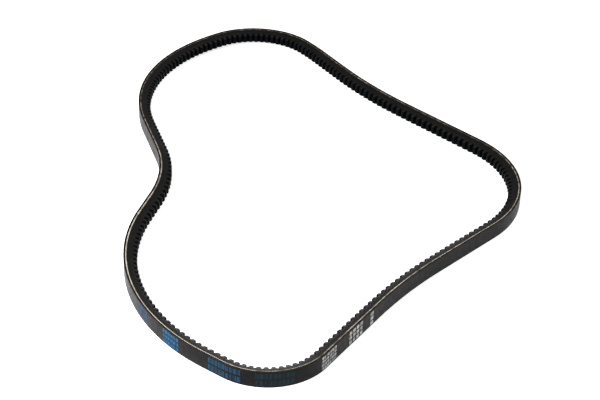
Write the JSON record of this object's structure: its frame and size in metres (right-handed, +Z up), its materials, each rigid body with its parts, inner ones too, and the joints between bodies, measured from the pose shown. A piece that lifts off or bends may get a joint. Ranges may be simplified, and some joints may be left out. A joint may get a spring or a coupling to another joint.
{
  "type": "v belt",
  "caption": "Raw-edge cogged V belt: fabric back, wound tension cord, adhesion rubber and cogged rubber, lying as a slack loop on its side edge.",
  "frame": {"origin": "on the floor under the middle of the loop's bounding box", "axes": "+Z up, across the belt's width; +Y along the loop's longest extent; the belt stands on its side edge with its cogs to the inside"},
  "size_m": [0.2398, 0.3849, 0.01],
  "materials": {
    "outer_fabric": "rubberised fabric, smooth with a slight sheen",
    "inner_fabric": "rubberised fabric, cut edge",
    "tension_cord": "cut polyester cord, tan",
    "adhesion_rubber": "matt, ground",
    "cogged_rubber": "matt, ground flanks and moulded cogs",
    "blue_ink": "printed ink, worn",
    "white_ink": "printed ink, worn"
  },
  "bodies": {
    "span_1": {"outer_fabric_1": "outer_fabric", "inner_fabric_1": "inner_fabric", "tension_cord_1": "tension_cord", "adhesion_rubber_1": "adhesion_rubber", "cogged_rubber_1": "cogged_rubber"},
    "span_2": {"outer_fabric_2": "outer_fabric", "inner_fabric_2": "inner_fabric", "tension_cord_2": "tension_cord", "adhesion_rubber_2": "adhesion_rubber", "cogged_rubber_2": "cogged_rubber"},
    "span_3": {"outer_fabric_3": "outer_fabric", "inner_fabric_3": "inner_fabric", "tension_cord_3": "tension_cord", "adhesion_rubber_3": "adhesion_rubber", "cogged_rubber_3": "cogged_rubber"},
    "span_4": {"outer_fabric_4": "outer_fabric", "inner_fabric_4": "inner_fabric", "tension_cord_4": "tension_cord", "adhesion_rubber_4": "adhesion_rubber", "cogged_rubber_4": "cogged_rubber"},
    "span_5": {"outer_fabric_5": "outer_fabric", "inner_fabric_5": "inner_fabric", "tension_cord_5": "tension_cord", "adhesion_rubber_5": "adhesion_rubber", "cogged_rubber_5": "cogged_rubber"},
    "span_6": {"outer_fabric_6": "outer_fabric", "inner_fabric_6": "inner_fabric", "tension_cord_6": "tension_cord", "adhesion_rubber_6": "adhesion_rubber", "cogged_rubber_6": "cogged_rubber", "printed_marks_1": "blue_ink", "printed_marks_2": "blue_ink", "printed_marks_3": "blue_ink", "printed_marks_4": "blue_ink"},
    "span_7": {"outer_fabric_7": "outer_fabric", "inner_fabric_7": "inner_fabric", "tension_cord_7": "tension_cord", "adhesion_rubber_7": "adhesion_rubber", "cogged_rubber_7": "cogged_rubber", "printed_marks_5": "white_ink", "printed_marks_6": "white_ink", "printed_marks_7": "white_ink"},
    "span_8": {"outer_fabric_8": "outer_fabric", "inner_fabric_8": "inner_fabric", "tension_cord_8": "tension_cord", "adhesion_rubber_8": "adhesion_rubber", "cogged_rubber_8": "cogged_rubber"},
    "span_9": {"outer_fabric_9": "outer_fabric", "inner_fabric_9": "inner_fabric", "tension_cord_9": "tension_cord", "adhesion_rubber_9": "adhesion_rubber", "cogged_rubber_9": "cogged_rubber"},
    "span_10": {"outer_fabric_10": "outer_fabric", "inner_fabric_10": "inner_fabric", "tension_cord_10": "tension_cord", "adhesion_rubber_10": "adhesion_rubber", "cogged_rubber_10": "cogged_rubber"}
  },
  "joints": [
    {"name": "bend_1", "type": "hinge", "parent": "span_1", "child": "span_2", "pos_m": [0.02073, 0.12714, 0.005], "axis": [0, 0, 1], "range_deg": [-6.5, 6.5], "stiffness_Nm_per_rad": 0.05},
    {"name": "bend_2", "type": "hinge", "parent": "span_2", "child": "span_3", "pos_m": [-0.03658, 0.18988, 0.005], "axis": [0, 0, 1], "range_deg": [-7.52, 7.52]},
    {"name": "bend_3", "type": "hinge", "parent": "span_3", "child": "span_4", "pos_m": [-0.11468, 0.12167, 0.005], "axis": [0, 0, 1], "range_deg": [-4.35, 4.35]},
    {"name": "bend_4", "type": "hinge", "parent": "span_4", "child": "span_5", "pos_m": [-0.09814, 0.01162, 0.005], "axis": [0, 0, 1], "range_deg": [-5.14, 5.14]},
    {"name": "bend_5", "type": "hinge", "parent": "span_5", "child": "span_6", "pos_m": [-0.1067, -0.10022, 0.005], "axis": [0, 0, 1], "range_deg": [-4.25, 4.25]},
    {"name": "bend_6", "type": "hinge", "parent": "span_6", "child": "span_7", "pos_m": [-0.00817, -0.18527, 0.005], "axis": [0, 0, 1], "range_deg": [-7.42, 7.42]},
    {"name": "bend_7", "type": "hinge", "parent": "span_7", "child": "span_8", "pos_m": [0.04713, -0.10744, 0.005], "axis": [0, 0, 1], "range_deg": [-6.79, 6.79]},
    {"name": "bend_8", "type": "hinge", "parent": "span_8", "child": "span_9", "pos_m": [0.11032, -0.03558, 0.005], "axis": [0, 0, 1], "range_deg": [-7.32, 7.32]},
    {"name": "bend_9", "type": "hinge", "parent": "span_9", "child": "span_10", "pos_m": [0.10656, 0.03468, 0.005], "axis": [0, 0, 1], "range_deg": [-7.2, 7.2]}
  ],
  "couplings": [
    {"joint": "bend_2", "follows": "bend_1", "ratio": 1.1542},
    {"joint": "bend_3", "follows": "bend_1", "ratio": -0.6664},
    {"joint": "bend_4", "follows": "bend_1", "ratio": -0.78865},
    {"joint": "bend_5", "follows": "bend_1", "ratio": -0.65197},
    {"joint": "bend_6", "follows": "bend_1", "ratio": 1.1391},
    {"joint": "bend_7", "follows": "bend_1", "ratio": 1.0424},
    {"joint": "bend_8", "follows": "bend_1", "ratio": -1.1236},
    {"joint": "bend_9", "follows": "bend_1", "ratio": -1.1052}
  ]
}
